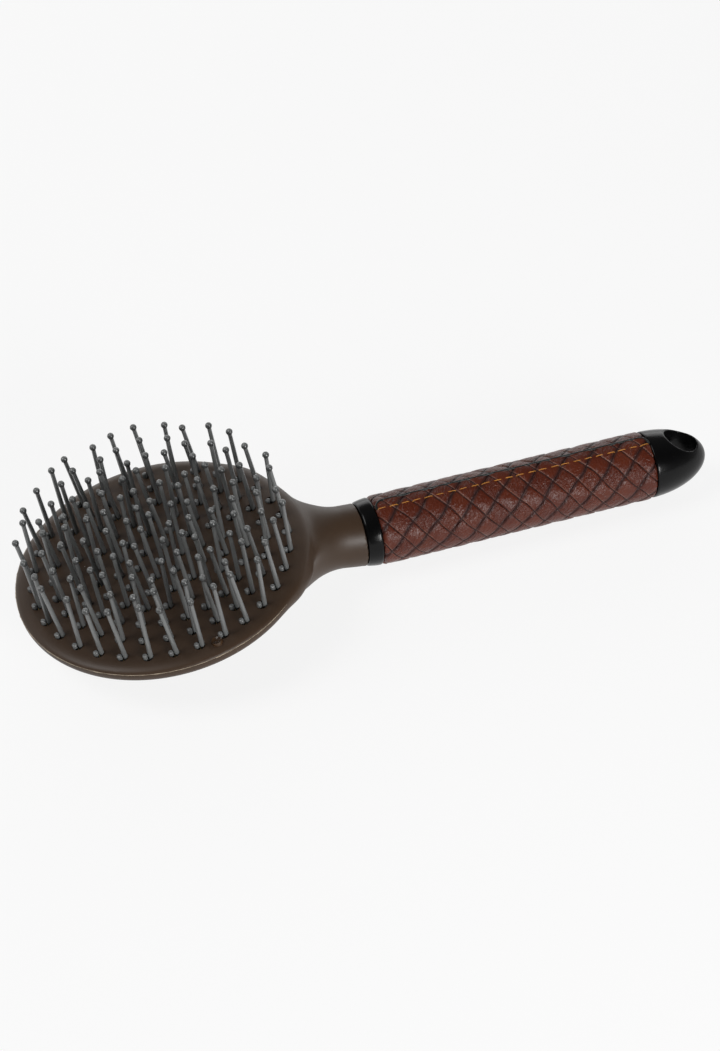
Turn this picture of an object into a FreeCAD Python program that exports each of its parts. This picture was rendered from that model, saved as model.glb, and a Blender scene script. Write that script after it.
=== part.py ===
import FreeCAD, Part
import math
import os
import re
import Sketcher

# A mane brush: a round moulded head set with folded nylon pins, a straight handle wrapped
# in leather between a collar and an end cap with a round hole to hang it by.
# Everything is drawn about the axis of the handle, with x = 0 where the neck meets the
# collar, +X towards the hanging end and +Z on the pin side. At the end the whole brush
# is set down on its back: the dome of the head and the grip both touch z = 0.

V = FreeCAD.Vector
X_AXIS = V(1, 0, 0)
Y_AXIS = V(0, 1, 0)
Z_AXIS = V(0, 0, 1)
QUARTER_TURN = 90
HALF_TURN = 180
FULL_TURN = 360

SIZES = (
    # Head: a disc with a flat face and a shallow domed back
    ("head_radius", 48.3),
    ("head_thickness", 20.9),
    ("rim_depth", 3.5),
    ("face_edge_round", 1.5),
    ("back_edge_round", 3.0),
    ("head_centre_distance", 67.3),
    ("head_tilt_angle", 7.4),
    # Neck: a round stem that rises with the face and flares into the head, flat below
    ("neck_joint_radius", 10.7),
    ("neck_waist_radius", 10.35),
    ("neck_stem_length", 6.7),
    ("neck_flare_radius", 22.0),
    ("neck_flare_length", 17.3),
    ("keel_length", 42.0),
    ("keel_end_radius", 9.0),
    ("keel_belly_radius", 34.0),
    ("keel_lift", 0.9),
    ("keel_edge_round", 6.0),
    # Tang: the round bar of the head that fills the front of the handle
    ("tang_radius", 6.1),
    ("tang_length", 62.0),
    # Collar: a slightly conical ring on the front land of the core
    ("collar_length", 5.5),
    ("collar_front_radius", 10.7),
    ("collar_rear_radius", 11.6),
    ("collar_bore_radius", 9.0),
    ("collar_edge_round", 0.5),
    # Handle core: a straight tube under the leather, with a land for the collar
    ("core_radius", 10.3),
    ("core_land_radius", 8.9),
    ("core_bore_radius", 6.2),
    ("grip_length", 97.2),
    # Leather: one layer round the core, its front edge lapped over the back one
    ("leather_thickness", 1.5),
    ("lap_step", 0.7),
    ("lap_middle_step", 0.28),
    ("lap_edge_angle", 94.0),
    ("lap_root_angle", 58.0),
    # Stitches: one row along the lap
    ("stitch_line_angle", 78.0),
    ("stitch_pitch", 4.05),
    ("stitch_length", 2.7),
    ("thread_radius", 0.35),
    ("stitch_end_margin", 0.6),
    # End cap: half an ellipsoid on a spigot, with a round hole to hang it by
    ("cap_radius", 11.5),
    ("cap_length", 21.7),
    ("spigot_radius", 6.1),
    ("spigot_length", 12.0),
    ("hang_hole_radius", 5.7),
    ("hang_hole_distance", 12.6),
    ("hang_hole_edge_round", 0.4),
    # Pins: one nylon filament each, folded in half, the long leg ending in a ball
    ("pin_rim_margin", 6.3),
    ("filament_radius", 0.725),
    ("fold_radius", 0.875),
    ("fold_depth", 3.6),
    ("stub_height", 1.3),
    ("pin_height", 20.7),
    ("ball_radius", 1.1),
    ("pin_hole_radius", 1.8),
    ("pin_hole_depth", 5.5),
    ("ring_start_angle", 2.0),
    ("pin_tip_lean_angle", 1.0),
    ("pin_fan_long_angle", 0.5),
    ("pin_fan_cross_angle", 0.85),
    ("pin_wobble_angle", 3.5),
    # Anchors: a flat metal strip across each fold
    ("anchor_thickness", 0.26),
    ("anchor_width", 3.5),
    ("anchor_height", 1.4),
    # How far every cutting body runs past what it cuts
    ("overrun", 2.0),
    # How closely two lengths agree where an edge is looked up by its place
    ("match_tolerance", 0.001),
)

# Pins in each ring, from the single pin in the middle to the outermost ring
RING_COUNTS = (1, 6, 12, 18, 24, 28, 32)

# Share of a full turn between one pin and the next in the waves that scatter their leans
LONG_WAVE_SHARE = 0.381
CROSS_WAVE_SHARE = 0.273

doc = FreeCAD.newDocument("mane_brush")
sheet = doc.addObject("Spreadsheet::Sheet", "sizes")
for row, (alias, number) in enumerate(SIZES, start=1):
    sheet.set("A%d" % row, alias)
    sheet.set("B%d" % row, str(number))
    sheet.setAlias("B%d" % row, alias)
doc.recompute()
ALIASES = [alias for alias, number in SIZES]


def size(alias):
    return float(sheet.get(alias))


def bind(item, name, text):
    """Tie a property or a constraint to the sheet; the text names its cells by alias."""
    def with_sheet(match):
        word = match.group(0)
        return "sizes." + word if word in ALIASES else word
    item.setExpression(name, re.sub(r"[a-z_]+", with_sheet, text))


def primitive(kind, name, sizes, base=(), rotation=None):
    """A Part primitive with its sizes and the place of its origin tied to the sheet."""
    item = doc.addObject(kind, name)
    if rotation:
        item.Placement = FreeCAD.Placement(V(), rotation)
    for prop, text in sizes:
        bind(item, prop, text)
    for axis, text in base:
        bind(item, "Placement.Base." + axis, text)
    return item


def boolean(kind, name, base, tool):
    item = doc.addObject(kind, name)
    item.Base = base
    item.Tool = tool
    return item


def fuse(name, pieces):
    item = doc.addObject("Part::MultiFuse", name)
    item.Shapes = pieces
    item.Refine = True
    return item


def feature(name, shape):
    item = doc.addObject("Part::Feature", name)
    item.Shape = shape
    return item


def fillet(name, base, radius, is_wanted):
    """Round each edge of the base that the test picks out."""
    doc.recompute()
    item = doc.addObject("Part::Fillet", name)
    item.Base = base
    numbered = enumerate(base.Shape.Edges, start=1)
    item.Edges = [(index, radius, radius) for index, edge in numbered if is_wanted(edge)]
    doc.recompute()
    return item


def near(one, other):
    return abs(one - other) < size("match_tolerance")


def sketch_on(body, name, role, offset=None):
    """An empty sketch on an origin plane of its body, moved along the plane's normal."""
    sketch = body.newObject("Sketcher::SketchObject", name)
    plane = next(item for item in body.Origin.OriginFeatures if item.Role == role)
    sketch.AttachmentSupport = [(plane, "")]
    sketch.MapMode = "FlatFace"
    if offset:
        bind(sketch, "AttachmentOffset.Base.z", offset)
    return sketch


def circle_sketch(body, name, radius, offset=None):
    """A circle about the handle axis, square to it; the radius is an alias."""
    sketch = sketch_on(body, name, "YZ_Plane", offset)
    sketch.addGeometry(Part.Circle(V(), Z_AXIS, size(radius)), False)
    sketch.addConstraint(Sketcher.Constraint("Coincident", 0, 3, -1, 1))
    sketch.addConstraint(Sketcher.Constraint("Radius", 0, size(radius)))
    bind(sketch, "Constraints[1]", radius)
    return sketch


def pad(body, name, sketch, length):
    item = body.newObject("PartDesign::Pad", name)
    item.Profile = sketch
    bind(item, "Length", length)
    doc.recompute()
    return item


# Shared lengths that follow from the sizes of several pieces

def dome_radius():
    """The ball that leaves the back of the head as deep as it is at the rim and the middle."""
    rise = size("head_thickness") - size("rim_depth")
    return (size("head_radius") ** 2 + rise ** 2) / (2 * rise)


def grip_radius():
    return size("core_radius") + size("leather_thickness")


def cap_start():
    return size("collar_length") + size("grip_length")


def face_placement():
    """The middle of the face, with its own +Z out of it and +X towards the handle.

    Its height lets the tilted dome and the grip rest on one flat surface.
    """
    tilt = size("head_tilt_angle")
    depth = dome_radius() - size("head_thickness")
    height = dome_radius() - depth * math.cos(math.radians(tilt)) - grip_radius()
    middle = V(-size("head_centre_distance"), 0, height)
    return FreeCAD.Placement(middle, FreeCAD.Rotation(Y_AXIS, -tilt))


# Head disc: a ball cut by a drum leaves the domed disc, and its two edges are rounded

def head_disc():
    rise = "(head_thickness - rim_depth)"
    radius = "(head_radius ^ 2 + " + rise + " ^ 2) / (2 * " + rise + ")"
    ball = primitive("Part::Sphere", "dome_ball", [("Radius", radius)],
                     [("z", radius + " - head_thickness")])
    drum = primitive("Part::Cylinder", "rim_drum",
                     [("Radius", "head_radius"), ("Height", "head_thickness + overrun")],
                     [("z", "-head_thickness - overrun")])
    blank = boolean("Part::Common", "disc_blank", ball, drum)

    def is_back_edge(edge):
        return near(edge.BoundBox.ZMin, -size("rim_depth")) and edge.Length > size("head_radius")

    def is_face_edge(edge):
        return near(edge.BoundBox.ZMin, 0) and edge.Length > size("head_radius")

    rounded_back = fillet("disc_back_round", blank, size("back_edge_round"), is_back_edge)
    disc = fillet("disc_face_round", rounded_back, size("face_edge_round"), is_face_edge)
    disc.Placement = face_placement()
    return disc


# Neck: the revolved stem and flare, its axis as steep as the face. A round belly flattens
# it below, and it is cut level with the face above.

def neck_horn():
    waist = size("neck_waist_radius")
    stem = -size("neck_stem_length")
    flare_end = stem - size("neck_flare_length")
    tail = flare_end - size("keel_length")
    bend = size("neck_flare_radius")

    def flare_height(x):
        return waist + bend - math.sqrt(bend ** 2 - (x - stem) ** 2)

    middle = (stem + flare_end) / 2
    front = size("overrun")
    corners = [V(front, 0, 0), V(front, 0, size("neck_joint_radius")), V(stem, 0, waist),
               V(flare_end, 0, flare_height(flare_end)), V(tail, 0, size("keel_end_radius")),
               V(tail, 0, 0)]
    flare = Part.Arc(corners[2], V(middle, 0, flare_height(middle)), corners[3]).toShape()
    sides = [Part.makeLine(corners[0], corners[1]), Part.makeLine(corners[1], corners[2]),
             flare, Part.makeLine(corners[3], corners[4]),
             Part.makeLine(corners[4], corners[5]), Part.makeLine(corners[5], corners[0])]
    profile = Part.Face(Part.Wire(sides))
    horn = feature("neck_horn", profile.revolve(V(), X_AXIS, FULL_TURN))
    horn.Placement = FreeCAD.Placement(V(), FreeCAD.Rotation(Y_AXIS, size("head_tilt_angle")))
    return horn


def neck():
    belly = primitive("Part::Cylinder", "keel_belly",
                      [("Radius", "keel_belly_radius"),
                       ("Height", "neck_stem_length + neck_flare_length + keel_length + 2 * overrun")],
                      [("z", "keel_belly_radius + keel_lift - core_radius - leather_thickness")],
                      FreeCAD.Rotation(Y_AXIS, -QUARTER_TURN))
    blank = boolean("Part::Common", "neck_blank", neck_horn(), belly)
    def is_keel_edge(edge):
        runs_along = edge.BoundBox.XLength > size("keel_edge_round")
        return runs_along and edge.CenterOfMass.z < 0

    rounded = fillet("neck_keel_round", blank, size("keel_edge_round"), is_keel_edge)
    slab = primitive("Part::Box", "above_face",
                     [("Length", "4 * head_radius"), ("Width", "4 * head_radius"),
                      ("Height", "2 * head_radius")])
    corner = V(-2 * size("head_radius"), -2 * size("head_radius"), 0)
    slab.Placement = face_placement() * FreeCAD.Placement(corner, FreeCAD.Rotation())
    return boolean("Part::Cut", "neck_below_face", rounded, slab)


# Pins: one folded filament, drawn once at a hole in the face and then copied to every hole.
# In the frame of a hole +Z points out along the pin and +X towards the handle.

def pin_places(ring):
    """Where the pins of one ring stand: each leans a little its own way."""
    rim = size("head_radius") - size("pin_rim_margin")
    radius = rim * ring / (len(RING_COUNTS) - 1)
    face = face_placement()
    for step in range(RING_COUNTS[ring]):
        turn = size("ring_start_angle") + FULL_TURN * step / RING_COUNTS[ring]
        x = radius * math.cos(math.radians(turn))
        y = radius * math.sin(math.radians(turn))
        number = sum(RING_COUNTS[:ring]) + step
        long_wave = math.sin(math.radians(FULL_TURN * LONG_WAVE_SHARE * number))
        cross_wave = math.sin(math.radians(FULL_TURN * CROSS_WAVE_SHARE * number))
        wobble = size("pin_wobble_angle")
        lean_long = size("pin_fan_long_angle") * x / rim - size("pin_tip_lean_angle")
        lean_cross = size("pin_fan_cross_angle") * y / rim
        tilt_long = FreeCAD.Rotation(Y_AXIS, lean_long + wobble * long_wave)
        tilt_cross = FreeCAD.Rotation(X_AXIS, -lean_cross - wobble * cross_wave)
        yield face * FreeCAD.Placement(V(x, y, 0), tilt_long * tilt_cross)


def folded_pin():
    long_leg = primitive("Part::Cylinder", "long_leg",
                         [("Radius", "filament_radius"), ("Height", "fold_depth + pin_height")],
                         [("x", "fold_radius"), ("z", "-fold_depth")])
    short_leg = primitive("Part::Cylinder", "short_leg",
                          [("Radius", "filament_radius"), ("Height", "fold_depth + stub_height")],
                          [("x", "-fold_radius"), ("z", "-fold_depth")])
    fold = primitive("Part::Torus", "fold",
                     [("Radius1", "fold_radius"), ("Radius2", "filament_radius")],
                     [("z", "-fold_depth")], FreeCAD.Rotation(X_AXIS, -QUARTER_TURN))
    fold.Angle3 = HALF_TURN
    ball = primitive("Part::Sphere", "ball", [("Radius", "ball_radius")],
                     [("x", "fold_radius"), ("z", "pin_height")])
    return fuse("folded_pin", [long_leg, short_leg, fold, ball])


def pin_hole():
    return primitive("Part::Cylinder", "pin_hole",
                     [("Radius", "pin_hole_radius"), ("Height", "pin_hole_depth + overrun")],
                     [("z", "-pin_hole_depth")])


def anchor():
    """The strip lies across the inside of the fold, on its lowest point."""
    return primitive("Part::Box", "anchor",
                     [("Length", "anchor_thickness"), ("Width", "anchor_width"),
                      ("Height", "anchor_height")],
                     [("x", "-anchor_thickness / 2"), ("y", "-anchor_width / 2"),
                      ("z", "filament_radius - fold_depth - fold_radius")])


def copies(pattern, rings):
    """The same solid at every hole of the given rings."""
    doc.recompute()
    solids = []
    for ring in rings:
        for place in pin_places(ring):
            solid = pattern.Shape.copy()
            solid.Placement = place * solid.Placement
            solids.append(solid)
    return Part.makeCompound(solids)


# Head: disc, neck and tang are one moulding, drilled for the pins

def head_body():
    tang = primitive("Part::Cylinder", "tang",
                     [("Radius", "tang_radius"), ("Height", "tang_length + overrun")],
                     [("x", "-overrun")], FreeCAD.Rotation(Y_AXIS, QUARTER_TURN))
    solid = fuse("head_solid", [head_disc(), neck(), tang])
    holes = feature("pin_holes", copies(pin_hole(), range(len(RING_COUNTS))))
    return boolean("Part::Cut", "head_drilled", solid, holes)


# Collar: a turned ring, wider where it meets the leather

def collar_ring():
    body = doc.addObject("PartDesign::Body", "collar")
    sketch = sketch_on(body, "collar_profile", "XZ_Plane")
    front = [("", "collar_bore_radius"), ("", "collar_front_radius")]
    rear = [("collar_length", "collar_rear_radius"), ("collar_length", "collar_bore_radius")]
    corners = front + rear
    points = [V(size(x) if x else 0, size(y), 0) for x, y in corners]
    for index, point in enumerate(points):
        sketch.addGeometry(Part.LineSegment(point, points[(index + 1) % len(points)]), False)
    for index, (x, y) in enumerate(corners):
        before = (index - 1) % len(corners)
        sketch.addConstraint(Sketcher.Constraint("Coincident", before, 2, index, 1))
        height = sketch.addConstraint(
            Sketcher.Constraint("DistanceY", -1, 1, index, 1, points[index].y))
        bind(sketch, "Constraints[%d]" % height, y)
        if x:
            reach = sketch.addConstraint(
                Sketcher.Constraint("DistanceX", -1, 1, index, 1, points[index].x))
            bind(sketch, "Constraints[%d]" % reach, x)
        else:
            sketch.addConstraint(Sketcher.Constraint("PointOnObject", index, 1, -2))
    turned = body.newObject("PartDesign::Revolution", "collar_turned")
    turned.Profile = sketch
    turned.ReferenceAxis = (sketch, ["H_Axis"])
    turned.Angle = FULL_TURN
    doc.recompute()
    outer = [size("collar_front_radius"), size("collar_rear_radius")]
    names = []
    for index, edge in enumerate(turned.Shape.Edges, start=1):
        is_round = near(edge.BoundBox.XLength, 0)
        if is_round and any(near(edge.Vertexes[0].Point.distanceToLine(V(), X_AXIS), r) for r in outer):
            names.append("Edge%d" % index)
    rounds = body.newObject("PartDesign::Fillet", "collar_rounds")
    rounds.Base = (turned, names)
    bind(rounds, "Radius", "collar_edge_round")
    body.Tip = rounds
    return body


# Handle core: land and barrel in one, bored right through for the tang and the spigot

def handle_core():
    body = doc.addObject("PartDesign::Body", "core")
    land = circle_sketch(body, "land_section", "core_land_radius")
    pad(body, "core_land", land, "collar_length + grip_length")
    barrel = circle_sketch(body, "barrel_section", "core_radius", "collar_length")
    solid = pad(body, "core_barrel", barrel, "grip_length")
    bore = body.newObject("PartDesign::Pocket", "core_bore")
    bore.Profile = circle_sketch(body, "bore_section", "core_bore_radius")
    bore.Type = "Length"
    bind(bore, "Length", "collar_length + grip_length + overrun")
    bore.Reversed = True
    body.Tip = bore
    doc.recompute()
    if bore.Shape.Volume >= solid.Shape.Volume:
        raise RuntimeError("the bore of the handle core cuts nothing")
    return body


# Leather: the section with its lap, drawn out along the grip, with a groove per stitch

def grip_point(angle, radius):
    """A point of the section at the start of the grip; angles run from the front over the top."""
    turn = math.radians(angle)
    return V(size("collar_length"), -radius * math.cos(turn), radius * math.sin(turn))


def lap_arc():
    root = size("lap_root_angle")
    edge = size("lap_edge_angle")
    radius = grip_radius()
    return Part.Arc(grip_point(root, radius),
                    grip_point((root + edge) / 2, radius + size("lap_middle_step")),
                    grip_point(edge, radius + size("lap_step")))


def leather_blank():
    root = size("lap_root_angle")
    edge = size("lap_edge_angle")
    radius = grip_radius()
    step_foot = grip_point(edge, radius)
    step_top = grip_point(edge, radius + size("lap_step"))
    far_side = grip_point((root + edge) / 2 + HALF_TURN, radius)
    round_back = Part.Arc(step_foot, far_side, grip_point(root, radius)).toShape()
    outline = Part.Wire([round_back, lap_arc().toShape(), Part.makeLine(step_top, step_foot)])
    inside = Part.Wire([Part.makeCircle(size("core_radius"), V(size("collar_length"), 0, 0), X_AXIS)])
    section = Part.Face(outline).cut(Part.Face(inside))
    return feature("leather_blank", section.Faces[0].extrude(V(size("grip_length"), 0, 0)))


def stitch_radius():
    """How far the surface of the lap lies from the handle axis on the line of the stitches."""
    lap = lap_arc().toShape().Curve
    middle = lap.Center - V(size("collar_length"), 0, 0)
    direction = grip_point(size("stitch_line_angle"), 1) - V(size("collar_length"), 0, 0)
    along = direction.dot(middle)
    return along + math.sqrt(along ** 2 - middle.dot(middle) + lap.Radius ** 2)


def seam_stitches():
    """Round-ended lengths of thread, sunk in the leather by half their thickness."""
    pitch = size("stitch_pitch")
    length = size("stitch_length")
    radius = size("thread_radius")
    room = size("grip_length") - 2 * size("stitch_end_margin") - length
    count = int(room / pitch) + 1
    first = (size("grip_length") - length - (count - 1) * pitch) / 2
    row = grip_point(size("stitch_line_angle"), stitch_radius())
    stitches = []
    for index in range(count):
        start = row + V(first + radius + index * pitch, 0, 0)
        end = start + V(length - 2 * radius, 0, 0)
        shank = Part.makeCylinder(radius, length - 2 * radius, start, X_AXIS)
        stitch = shank.fuse([Part.makeSphere(radius, start), Part.makeSphere(radius, end)])
        stitches.append(stitch.removeSplitter().Solids[0])
    return feature("stitch_row", Part.makeCompound(stitches))


def leather_wrap(stitches):
    return boolean("Part::Cut", "leather", leather_blank(), stitches)


# End cap: turned with its spigot, a quarter of an ellipse for the outside, then pierced

def cap_turned():
    face = cap_start()
    back = face - size("spigot_length")
    tip = face + size("cap_length")
    corners = [V(back, 0, 0), V(back, size("spigot_radius"), 0), V(face, size("spigot_radius"), 0),
               V(face, size("cap_radius"), 0), V(tip, 0, 0)]
    ellipse = Part.Ellipse(V(face, 0, 0), size("cap_length"), size("cap_radius"))
    quarter = Part.Edge(ellipse, 0, math.radians(QUARTER_TURN))
    sides = [Part.makeLine(corners[index], corners[index + 1]) for index in range(3)]
    sides += [quarter, Part.makeLine(corners[-1], corners[0])]
    profile = Part.Face(Part.Wire(Part.sortEdges(sides)[0]))
    return feature("cap_turned", profile.revolve(V(), X_AXIS, FULL_TURN))


def end_cap():
    start = "collar_length + grip_length"
    hole = primitive("Part::Cylinder", "hang_hole",
                     [("Radius", "hang_hole_radius"), ("Height", "2 * cap_radius + 2 * overrun")],
                     [("x", start + " + hang_hole_distance"), ("z", "-cap_radius - overrun")])
    pierced = boolean("Part::Cut", "cap_pierced", cap_turned(), hole)
    middle = V(cap_start() + size("hang_hole_distance"), 0, 0)

    def is_mouth(edge):
        radius = size("hang_hole_radius")
        ends = [vertex.Point.distanceToLine(middle, Z_AXIS) for vertex in edge.Vertexes]
        return edge.BoundBox.XLength > radius and all(near(end, radius) for end in ends)

    return fillet("cap_rounded", pierced, size("hang_hole_edge_round"), is_mouth)


# Assembly: every piece gets its own name and is set down with the rest

def brush():
    stitches = seam_stitches()
    pieces = {
        "head_body": head_body(),
        "collar_ring": collar_ring(),
        "handle_core": handle_core(),
        "leather_wrap": leather_wrap(stitches),
        "seam_stitches": feature("seam_thread", stitches.Shape),
        "end_cap": end_cap(),
    }
    pin = folded_pin()
    strip = anchor()
    for ring in range(len(RING_COUNTS)):
        suffix = "ring_%d" % ring if ring else "centre"
        pins = "pins_" + suffix if ring else "pin_centre"
        anchors = "anchors_" + suffix if ring else "anchor_centre"
        pieces[pins] = feature("group_of_" + pins, copies(pin, [ring]))
        pieces[anchors] = feature("group_of_" + anchors, copies(strip, [ring]))
    return pieces


def resting_place():
    """Moves the handle axis up to its height and the middle of the length to x = 0."""
    tilt = math.radians(size("head_tilt_angle"))
    edge = size("face_edge_round")
    reach = (size("head_radius") - edge) * math.cos(tilt) - edge * math.sin(tilt) + edge
    tip = size("head_centre_distance") + reach
    end = cap_start() + size("cap_length")
    return FreeCAD.Placement(V((tip - end) / 2, 0, grip_radius()), FreeCAD.Rotation())


pieces = brush()
doc.recompute()
for node, piece in pieces.items():
    piece.Label = node
    piece.Placement = resting_place() * piece.Placement
doc.recompute()

for item in doc.Objects:
    if "Invalid" in item.State or "Error" in item.State:
        raise RuntimeError("%s could not be made: %s" % (item.Name, item.State))
for node, piece in pieces.items():
    if piece.Shape.isNull() or not piece.Shape.isValid():
        raise RuntimeError("%s has no valid shape" % node)

os.makedirs("parts", exist_ok=True)
for node, piece in pieces.items():
    piece.Shape.exportStep("parts/%s.step" % node)
    box = piece.Shape.BoundBox
    print("%-18s solids %3d volume %10.2f x %8.3f %8.3f y %8.3f %8.3f z %8.3f %8.3f" % (
        node, len(piece.Shape.Solids), piece.Shape.Volume,
        box.XMin, box.XMax, box.YMin, box.YMax, box.ZMin, box.ZMax))
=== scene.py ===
import bmesh
import bpy
import math
import numpy as np
from mathutils import Matrix, Vector


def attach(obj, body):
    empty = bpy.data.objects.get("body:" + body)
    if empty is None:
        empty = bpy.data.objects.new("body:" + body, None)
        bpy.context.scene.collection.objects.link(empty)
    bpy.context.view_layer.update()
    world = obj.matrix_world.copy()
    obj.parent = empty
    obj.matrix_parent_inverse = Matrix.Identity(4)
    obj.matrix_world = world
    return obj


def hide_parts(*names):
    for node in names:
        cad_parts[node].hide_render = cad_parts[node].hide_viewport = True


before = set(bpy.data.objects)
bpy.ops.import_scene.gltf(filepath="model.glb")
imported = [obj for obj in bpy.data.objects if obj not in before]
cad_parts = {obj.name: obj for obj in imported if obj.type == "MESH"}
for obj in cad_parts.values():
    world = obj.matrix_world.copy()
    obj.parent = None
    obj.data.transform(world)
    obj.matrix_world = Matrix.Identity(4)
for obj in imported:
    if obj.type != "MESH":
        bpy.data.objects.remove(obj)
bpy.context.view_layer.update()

# Mane brush
# A round moulded head set with folded nylon pins, and a handle wrapped in embossed leather
# between a collar and an end cap with a hole to hang it by. It lies on its back.


# Table, room and lamps
# The brush lies on white paper. A softbox high on the left lights it, a long low one
# beyond it draws the sheen along the leather, and one low in front lights the near pins.

PAPER_WHITE = (0.90, 0.90, 0.90, 1.0)
PAPER_REACH = 12
BLEACH = 0.85
ROOM_WHITE = 0.95


def shown(name, data):
    """A new object in the scene for data whose place is already in its points."""
    thing = bpy.data.objects.new(name, data)
    bpy.context.scene.collection.objects.link(thing)
    return thing


def mesh_of(name, points, faces=(), edges=()):
    """A mesh of points, with the faces or the edges between them."""
    mesh = bpy.data.meshes.new(name)
    mesh.from_pydata(np.asarray(points, dtype=float).tolist(), edges, faces)
    return mesh


def new_material(name):
    """A material, with its node tree and its Principled BSDF."""
    material = bpy.data.materials.new(name)
    material.use_nodes = True
    return material, material.node_tree, material.node_tree.nodes["Principled BSDF"]


def feed(tree, socket, value):
    """Set an input to a plain value, or link it to another node's output."""
    if isinstance(value, bpy.types.NodeSocket):
        tree.links.new(value, socket)
    else:
        socket.default_value = value


def new_node(tree, kind, result, **sockets):
    """A node with values or links on its inputs; an underscore stands for a space."""
    node = tree.nodes.new(kind)
    for name, value in sockets.items():
        feed(tree, node.inputs[name.replace("_", " ")], value)
    return node.outputs[result] if result is not None else node


def number_node(tree, operation, *values):
    """A Math node on numbers or sockets, in a shader or a geometry tree."""
    node = tree.nodes.new("ShaderNodeMath")
    node.operation = operation
    for socket, value in zip(node.inputs, values):
        feed(tree, socket, value)
    return node.outputs[0]


def ramp_node(tree, value, low, high, to_low, to_high):
    """A smooth step of a value from one pair of numbers to another."""
    node = new_node(tree, "ShaderNodeMapRange", None, Value=value, From_Min=low, From_Max=high,
                    To_Min=to_low, To_Max=to_high)
    node.interpolation_type = "SMOOTHSTEP"
    return node.outputs[0]


# The camera sees the paper bleached, and the brush's shadow faintly on it
paper_corners = np.array([(-1, -1, 0), (1, -1, 0), (1, 1, 0), (-1, 1, 0)])
paper = shown("paper", mesh_of("paper", PAPER_REACH * paper_corners, [(0, 1, 2, 3)]))
paper_material, tree, shader = new_material("white paper")
shader.inputs["Base Color"].default_value = PAPER_WHITE
shader.inputs["Roughness"].default_value = 0.9
rays = tree.nodes.new("ShaderNodeLightPath").outputs
seen = number_node(tree, "MAXIMUM", rays["Is Camera Ray"], rays["Is Glossy Ray"])
seen = number_node(tree, "MAXIMUM", seen, rays["Is Transmission Ray"])
bleached = number_node(tree, "MULTIPLY", seen, BLEACH)
white = tree.nodes.new("ShaderNodeEmission")
blend = tree.nodes.new("ShaderNodeMixShader")
for socket, source in zip(blend.inputs, (bleached, shader.outputs[0], white.outputs[0])):
    tree.links.new(source, socket)
tree.links.new(blend.outputs[0], tree.nodes["Material Output"].inputs["Surface"])
paper.data.materials.append(paper_material)

# The room is lightest low down and beyond the brush. Seen directly, it is as white as the paper
world = bpy.data.worlds.new("studio")
bpy.context.scene.world = world
world.use_nodes = True
tree = world.node_tree
direction = new_node(tree, "ShaderNodeTexCoord", "Generated")
toward = new_node(tree, "ShaderNodeSeparateXYZ", None, Vector=direction).outputs
low_down = ramp_node(tree, toward["Z"], 0.05, 0.55, 0.95, 0.15)
beyond = ramp_node(tree, toward["Y"], -0.5, 0.4, 0.22, 1.0)
light_there = number_node(tree, "MULTIPLY", low_down, beyond)
is_seen = new_node(tree, "ShaderNodeLightPath", "Is Camera Ray")
whiter = number_node(tree, "MULTIPLY_ADD", is_seen, ROOM_WHITE, light_there)
whiter = number_node(tree, "MINIMUM", whiter, ROOM_WHITE)
tree.links.new(whiter, tree.nodes["Background"].inputs["Color"])


def softbox(name, place, target, width, depth, power):
    """A rectangular area lamp at a place, turned to shine at its target."""
    light = bpy.data.lights.new(name, "AREA")
    light.shape = "RECTANGLE"
    light.size = width
    light.size_y = depth
    light.energy = power
    lamp = shown(name, light)
    aim = (Vector(target) - Vector(place)).to_track_quat("-Z", "Y")
    lamp.matrix_world = Matrix.Translation(place) @ aim.to_matrix().to_4x4()


softbox("high left softbox", place=(-0.85, 0.12, 1.1), target=(0, 0, 0),
        width=0.7, depth=0.7, power=7.5)
softbox("far softbox", place=(0.25, 1.05, 0.34), target=(0, 0, 0.02),
        width=1.6, depth=0.5, power=4.0)
softbox("near softbox", place=(0.25, -0.97, 0.32), target=(0, 0, 0.03),
        width=0.36, depth=0.30, power=7.8)


# Camera
# It looks down on the brush from the pin side, past the right of the head, and is rolled
# a little so that the handle's far end dips.

CAMERA_PLACE = Vector((-0.18201, -0.58316, 0.56465))
CAMERA_RIGHT = Vector((0.94867, -0.31508, -0.02728))
CAMERA_BACK = Vector((-0.21683, -0.71080, 0.66914))
lens = bpy.data.cameras.new("camera")
lens.lens = 85.0
lens.sensor_width = 36.0
camera = shown("camera", lens)
camera_up = CAMERA_BACK.cross(CAMERA_RIGHT)
turned = Matrix((CAMERA_RIGHT, camera_up, CAMERA_BACK)).transposed().to_4x4()
camera.matrix_world = Matrix.Translation(CAMERA_PLACE) @ turned
bpy.context.scene.camera = camera


# Head
# One moulding of dark brown plastic: a disc with a flat face and a domed back, and a neck
# that flares into it. Its tang fills the front of the handle, and every pin has its hole.
# Sizes are in mm and drawn about the axis of the handle, from where the neck meets the collar.

MM = 0.001
GRIP_RADIUS = 11.8
JOINT_X = -4.691
HEAD_RADIUS = 48.15
DOME_RADIUS = 77.5
HEAD_THICKNESS = 20.88
FACE_CENTRE = Vector((-67.3, 0, 9.557))
FACE_TILT = math.radians(7.4)
EDGE_WIDTH = 4.2
EDGE_DROP = 1.75
NECK_LENGTH = 66.0
NECK_BELOW_FACE = 2.2
STEM_END = -6.7
STEM_RADIUS = 10.35
STEM_WIDENING = 0.35 / 8.7
FLARE_END = -28.0
FLARE_RADIUS = 22.0
KEEL_START = -24.0
KEEL_RADIUS = 18.757
KEEL_TIP_RADIUS = 9.0
BELLY_CENTRE = 23.1
BELLY_RADIUS = 34.0
GUSSET_TURN = math.radians(46)
GUSSET_OUT = 48.3
GUSSET_START = 33.0
GUSSET_BELOW_FACE = 2.5
GUSSET_THICK = 3.0
GUSSET_FALL = 42.0
GUSSET_SLOPE = 0.9
TANG_RADIUS = 6.1
TANG_LENGTH = 62.0
HEAD_CELL = 0.56
HEAD_BROWN = (0.050, 0.029, 0.0165, 1.0)
DUST_GREY = (0.40, 0.37, 0.34, 1.0)
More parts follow.
